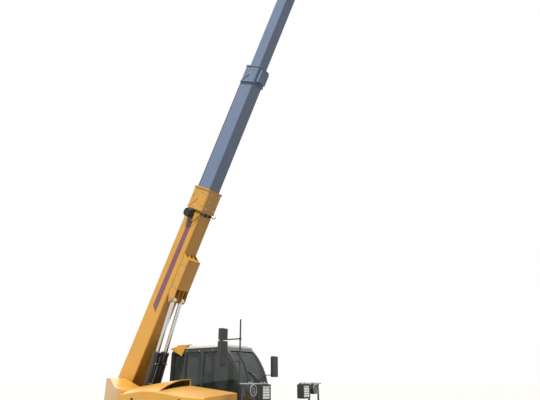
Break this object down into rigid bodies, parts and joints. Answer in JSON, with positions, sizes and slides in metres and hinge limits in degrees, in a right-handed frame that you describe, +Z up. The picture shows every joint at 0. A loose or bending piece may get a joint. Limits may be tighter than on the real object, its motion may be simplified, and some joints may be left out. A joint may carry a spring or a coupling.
{
  "type": "telehandler",
  "caption": "Telescopic handler with its three-section boom raised and run out, fork carriage, closed cab on the left, engine hood on the right, four steered wheels",
  "frame": {"origin": "on the ground under the middle of the whole machine as it stands, boom raised", "axes": "+X forward, +Y to the machine's left, +Z up"},
  "size_m": [7.6653, 2.482, 11.3373],
  "materials": {
    "yellow_paint": "satin",
    "slate_paint": "satin",
    "black_paint": "satin",
    "pale_paint": "satin",
    "chrome_rod": "polished",
    "glass": "polished",
    "lamp_glass": "polished",
    "tyre": "matte",
    "black_plastic": "matte",
    "seat_cloth": "matte",
    "cast_iron": "matte"
  },
  "bodies": {
    "chassis": {"chassis_frame": "yellow_paint", "counterweight": "yellow_paint", "drive_line": "cast_iron", "axle_front": "black_paint", "axle_rear": "black_paint", "cab_frame": "black_paint", "cab_glass": "glass", "cab_roof": "pale_paint", "cab_visor": "yellow_paint", "seat_base": "black_plastic", "driver_seat": "seat_cloth", "dash_console": "black_plastic", "steering_wheel": "black_plastic", "engine_bay": "yellow_paint", "engine_block": "cast_iron", "rear_cowl_right": "yellow_paint", "rear_cowl_left": "yellow_paint", "front_fenders": "yellow_paint", "rear_fenders": "black_plastic", "fuel_tank": "black_paint", "lamp_brackets": "black_paint", "headlamps": "lamp_glass", "tail_lamps": "lamp_glass", "mirror_right": "black_plastic", "mirror_left": "black_plastic", "engine_grille": "black_plastic"},
    "boom_base": {"boom_base": "yellow_paint", "cable_reel": "black_plastic"},
    "boom_middle": {"boom_middle": "slate_paint", "hose_rail": "black_plastic"},
    "boom_tip": {"boom_tip": "slate_paint", "tilt_barrel": "black_paint"},
    "tilt_rod": {"tilt_rod": "chrome_rod"},
    "carriage": {"fork_carriage": "yellow_paint", "forks": "black_paint"},
    "lift_barrels": {"lift_barrels": "black_paint"},
    "lift_rods": {"lift_rods": "chrome_rod"},
    "door": {"cab_door": "black_paint", "cab_door_glass": "glass"},
    "hood_lid": {"hood_lid": "yellow_paint", "intake_grille": "black_plastic"},
    "knuckle_front_left": {"knuckle_front_left": "black_paint"},
    "wheel_front_left": {"rim_front_left": "pale_paint", "tyre_front_left": "tyre"},
    "knuckle_front_right": {"knuckle_front_right": "black_paint"},
    "wheel_front_right": {"rim_front_right": "pale_paint", "tyre_front_right": "tyre"},
    "knuckle_rear_left": {"knuckle_rear_left": "black_paint"},
    "wheel_rear_left": {"rim_rear_left": "pale_paint", "tyre_rear_left": "tyre"},
    "knuckle_rear_right": {"knuckle_rear_right": "black_paint"},
    "wheel_rear_right": {"rim_rear_right": "pale_paint", "tyre_rear_right": "tyre"},
    "stabilizer_leg_left": {"stabilizer_leg_left": "black_paint"},
    "stabilizer_barrel_left": {"stabilizer_barrel_left": "black_paint"},
    "stabilizer_rod_left": {"stabilizer_rod_left": "chrome_rod"},
    "stabilizer_leg_right": {"stabilizer_leg_right": "black_paint"},
    "stabilizer_barrel_right": {"stabilizer_barrel_right": "black_paint"},
    "stabilizer_rod_right": {"stabilizer_rod_right": "chrome_rod"}
  },
  "joints": [
    {"name": "boom_lift", "type": "hinge", "parent": "chassis", "child": "boom_base", "pos_m": [-3.16, 0, 1.606], "axis": [0, -1, 0], "range_deg": [-66.45, 8.55]},
    {"name": "boom_extend", "type": "slide", "parent": "boom_base", "child": "boom_middle", "axis": [0.447, 0, 0.8945], "range_m": [-2.55, 0.6]},
    {"name": "boom_extend_tip", "type": "slide", "parent": "boom_middle", "child": "boom_tip", "axis": [0.447, 0, 0.8945], "range_m": [-2.55, 0.6]},
    {"name": "carriage_tilt", "type": "hinge", "parent": "boom_tip", "child": "carriage", "pos_m": [2.41429, 0, 10.97212], "axis": [0, -1, 0], "range_deg": [-46, 78]},
    {"name": "tilt_rod_slide", "type": "slide", "parent": "boom_tip", "child": "tilt_rod", "axis": [1, 0, 0.0086], "range_m": [-0.2126, 0.1262]},
    {"name": "lift_barrel_swing", "type": "hinge", "parent": "chassis", "child": "lift_barrels", "pos_m": [-2.68, 0, 0.95], "axis": [0, -1, 0], "range_deg": [-63.73, 8.37]},
    {"name": "lift_rod_slide", "type": "slide", "parent": "lift_barrels", "child": "lift_rods", "axis": [0.324, 0, 0.9461], "range_m": [-0.8791, 0.1149]},
    {"name": "door_swing", "type": "hinge", "parent": "chassis", "child": "door", "pos_m": [-1.235, 1.128, 1.7], "axis": [0, 0, 1], "range_deg": [0, 95]},
    {"name": "hood_lid_swing", "type": "hinge", "parent": "chassis", "child": "hood_lid", "pos_m": [-1.974, -0.51, 1.6603], "axis": [0, -1, 0], "range_deg": [0, 45]},
    {"name": "steer_front_left", "type": "hinge", "parent": "chassis", "child": "knuckle_front_left", "pos_m": [0.45, 0.73, 0.628], "axis": [0, 0, 1], "range_deg": [-35, 35]},
    {"name": "roll_front_left", "type": "hinge", "parent": "knuckle_front_left", "child": "wheel_front_left", "pos_m": [0.45, 0.985, 0.628], "axis": [0, 1, 0], "continuous": true},
    {"name": "steer_front_right", "type": "hinge", "parent": "chassis", "child": "knuckle_front_right", "pos_m": [0.45, -0.73, 0.628], "axis": [0, 0, 1], "range_deg": [-35, 35]},
    {"name": "roll_front_right", "type": "hinge", "parent": "knuckle_front_right", "child": "wheel_front_right", "pos_m": [0.45, -0.985, 0.628], "axis": [0, 1, 0], "continuous": true},
    {"name": "steer_rear_left", "type": "hinge", "parent": "chassis", "child": "knuckle_rear_left", "pos_m": [-2.43, 0.73, 0.628], "axis": [0, 0, 1], "range_deg": [-35, 35]},
    {"name": "roll_rear_left", "type": "hinge", "parent": "knuckle_rear_left", "child": "wheel_rear_left", "pos_m": [-2.43, 0.985, 0.628], "axis": [0, 1, 0], "continuous": true},
    {"name": "steer_rear_right", "type": "hinge", "parent": "chassis", "child": "knuckle_rear_right", "pos_m": [-2.43, -0.73, 0.628], "axis": [0, 0, 1], "range_deg": [-35, 35]},
    {"name": "roll_rear_right", "type": "hinge", "parent": "knuckle_rear_right", "child": "wheel_rear_right", "pos_m": [-2.43, -0.985, 0.628], "axis": [0, 1, 0], "continuous": true},
    {"name": "stabilizer_left", "type": "hinge", "parent": "chassis", "child": "stabilizer_leg_left", "pos_m": [1.3, 0.24, 0.62], "axis": [-1, 0, 0], "range_deg": [0, 52]},
    {"name": "stabilizer_barrel_left", "type": "hinge", "parent": "chassis", "child": "stabilizer_barrel_left", "pos_m": [1.3, 0.18, 0.96], "axis": [-1, 0, 0], "range_deg": [-0.2, 36.42]},
    {"name": "stabilizer_rod_left", "type": "slide", "parent": "stabilizer_barrel_left", "child": "stabilizer_rod_left", "axis": [0, 0.9762, -0.2169], "range_m": [-0.002, 0.2339]},
    {"name": "stabilizer_right", "type": "hinge", "parent": "chassis", "child": "stabilizer_leg_right", "pos_m": [1.3, -0.24, 0.62], "axis": [1, 0, 0], "range_deg": [0, 52]},
    {"name": "stabilizer_barrel_right", "type": "hinge", "parent": "chassis", "child": "stabilizer_barrel_right", "pos_m": [1.3, -0.18, 0.96], "axis": [1, 0, 0], "range_deg": [-0.2, 36.42]},
    {"name": "stabilizer_rod_right", "type": "slide", "parent": "stabilizer_barrel_right", "child": "stabilizer_rod_right", "axis": [0, -0.9762, -0.2169], "range_m": [-0.002, 0.2339]}
  ],
  "couplings": [
    {"joint": "boom_extend_tip", "follows": "boom_extend", "ratio": 1},
    {"joint": "tilt_rod_slide", "follows": "carriage_tilt", "m_per_rad": -0.1547},
    {"joint": "lift_barrel_swing", "follows": "boom_lift", "ratio": 0.956},
    {"joint": "lift_rod_slide", "follows": "boom_lift", "m_per_rad": 0.7563},
    {"joint": "steer_front_right", "follows": "steer_front_left", "ratio": 1},
    {"joint": "steer_rear_right", "follows": "steer_rear_left", "ratio": 1},
    {"joint": "stabilizer_barrel_left", "follows": "stabilizer_left", "ratio": 0.6966},
    {"joint": "stabilizer_rod_left", "follows": "stabilizer_left", "m_per_rad": 0.25548},
    {"joint": "stabilizer_barrel_right", "follows": "stabilizer_right", "ratio": 0.6966},
    {"joint": "stabilizer_rod_right", "follows": "stabilizer_right", "m_per_rad": 0.25548}
  ]
}
